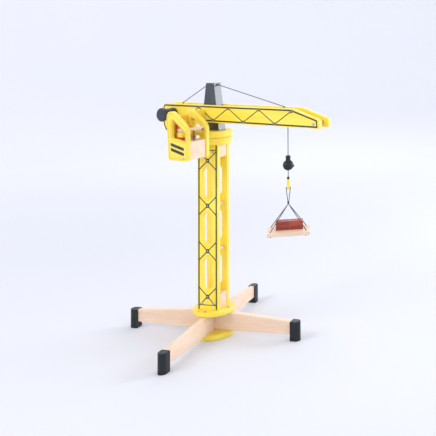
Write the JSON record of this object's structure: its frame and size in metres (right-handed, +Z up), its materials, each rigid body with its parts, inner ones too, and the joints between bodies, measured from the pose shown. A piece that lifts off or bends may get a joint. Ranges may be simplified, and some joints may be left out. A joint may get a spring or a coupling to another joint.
{
  "type": "toy tower crane",
  "caption": "Wooden toy tower crane: four-footed base, twin-panel tower, slewing jib with hand winch and cord hoist, cab with driver, and a pallet of bricks hung from the hook",
  "frame": {"origin": "on the slewing axis, in the plane the crane stands on", "axes": "+X along the jib towards the hook, +Y to the side away from the cab, +Z up"},
  "size_m": [0.529, 0.418, 0.58],
  "materials": {
    "yellow_wood": "yellow glaze with the grain showing",
    "beech": "pale clear varnish",
    "slate_wood": "dark slate satin lacquer",
    "red_wood": "red satin glaze",
    "brown_wood": "brown stain",
    "white_wood": "white gloss lacquer",
    "screw_steel": "zinc-plated",
    "cord": "twisted cotton cord"
  },
  "bodies": {
    "stand": {"leg_beam_long": "beech", "leg_beam_cross": "beech", "foot_cap_right": "slate_wood", "foot_cap_left": "slate_wood", "foot_cap_front": "slate_wood", "foot_cap_back": "slate_wood", "lower_disc": "yellow_wood", "upper_disc": "yellow_wood", "disc_screws": "screw_steel", "tower_front_panel": "yellow_wood", "tower_rear_panel": "yellow_wood", "tower_bottom_block": "beech", "tower_top_block": "beech", "tower_dowels": "beech", "tower_screws": "screw_steel", "collar_disc": "yellow_wood"},
    "upper": {"slew_dowel": "beech", "slew_washer": "screw_steel", "slew_screw": "screw_steel", "turntable": "yellow_wood", "mast_block": "slate_wood", "jib_near_plate": "yellow_wood", "jib_far_plate": "yellow_wood", "jib_tip_spacer": "beech", "jib_tip_screws": "screw_steel", "stay_pins": "beech", "stay_loops": "cord", "stay_cord": "cord", "roller_pin": "screw_steel", "jib_line": "cord", "cab_spacer": "yellow_wood", "cab_near_panel": "yellow_wood", "cab_far_panel": "yellow_wood", "cab_back_panel": "yellow_wood", "cab_floor_block": "beech", "cab_crossbar": "beech", "cab_screws": "screw_steel", "lever_pin": "screw_steel"},
    "winch": {"winch_knob": "slate_wood", "winch_shaft": "beech", "winch_end_cap": "slate_wood", "line_wraps": "cord"},
    "roller": {"guide_roller": "beech"},
    "line": {"hoist_line": "cord"},
    "hook": {"hook_weight": "slate_wood", "hook_cord": "cord", "swivel_bead": "slate_wood"},
    "load": {"load_hook": "yellow_wood", "sling_cord": "cord", "sling_legs": "cord", "pallet": "beech"},
    "bricks": {"bricks": "red_wood"},
    "lever": {"control_lever": "brown_wood", "lever_knob_pin": "slate_wood", "lever_knob": "white_wood"},
    "driver": {"driver_body": "red_wood", "driver_head": "beech", "driver_cap": "red_wood"}
  },
  "joints": [
    {"name": "slew", "type": "hinge", "parent": "stand", "child": "upper", "pos_m": [0, 0, 0.455], "axis": [0, 0, 1], "continuous": true},
    {"name": "load_swing", "type": "hinge", "parent": "upper", "child": "line", "pos_m": [0.2195, 0, 0.498], "axis": [0, 1, 0], "range_deg": [-8, 8]},
    {"name": "hoist", "type": "slide", "parent": "line", "child": "hook", "axis": [0, 0, 1], "range_m": [-0.245, 0.055], "deforming": ["hoist_line"]},
    {"name": "winch_turn", "type": "hinge", "parent": "upper", "child": "winch", "pos_m": [-0.106, 0, 0.5066], "axis": [0, 1, 0], "range_deg": [-455, 2010]},
    {"name": "roller_spin", "type": "hinge", "parent": "upper", "child": "roller", "pos_m": [0.212, 0, 0.5061], "axis": [0, 1, 0], "range_deg": [-425, 1876]},
    {"name": "hook_swivel", "type": "hinge", "parent": "hook", "child": "load", "pos_m": [0.2195, 0, 0.37], "axis": [0, 0, 1], "continuous": true},
    {"name": "bricks_slide", "type": "slide", "parent": "load", "child": "bricks", "axis": [0.7934, 0.6088, 0], "range_m": [-0.014, 0.014]},
    {"name": "lever_tilt", "type": "hinge", "parent": "upper", "child": "lever", "pos_m": [0.014, -0.076, 0.453], "axis": [0, 1, 0], "range_deg": [-8, 8]},
    {"name": "driver_turn", "type": "hinge", "parent": "upper", "child": "driver", "pos_m": [-0.0095, -0.086, 0.457], "axis": [0, 0, 1], "range_deg": [-15, 15]}
  ],
  "couplings": [
    {"joint": "winch_turn", "follows": "hoist", "rad_per_m": -142.86},
    {"joint": "roller_spin", "follows": "hoist", "rad_per_m": -133.33}
  ]
}
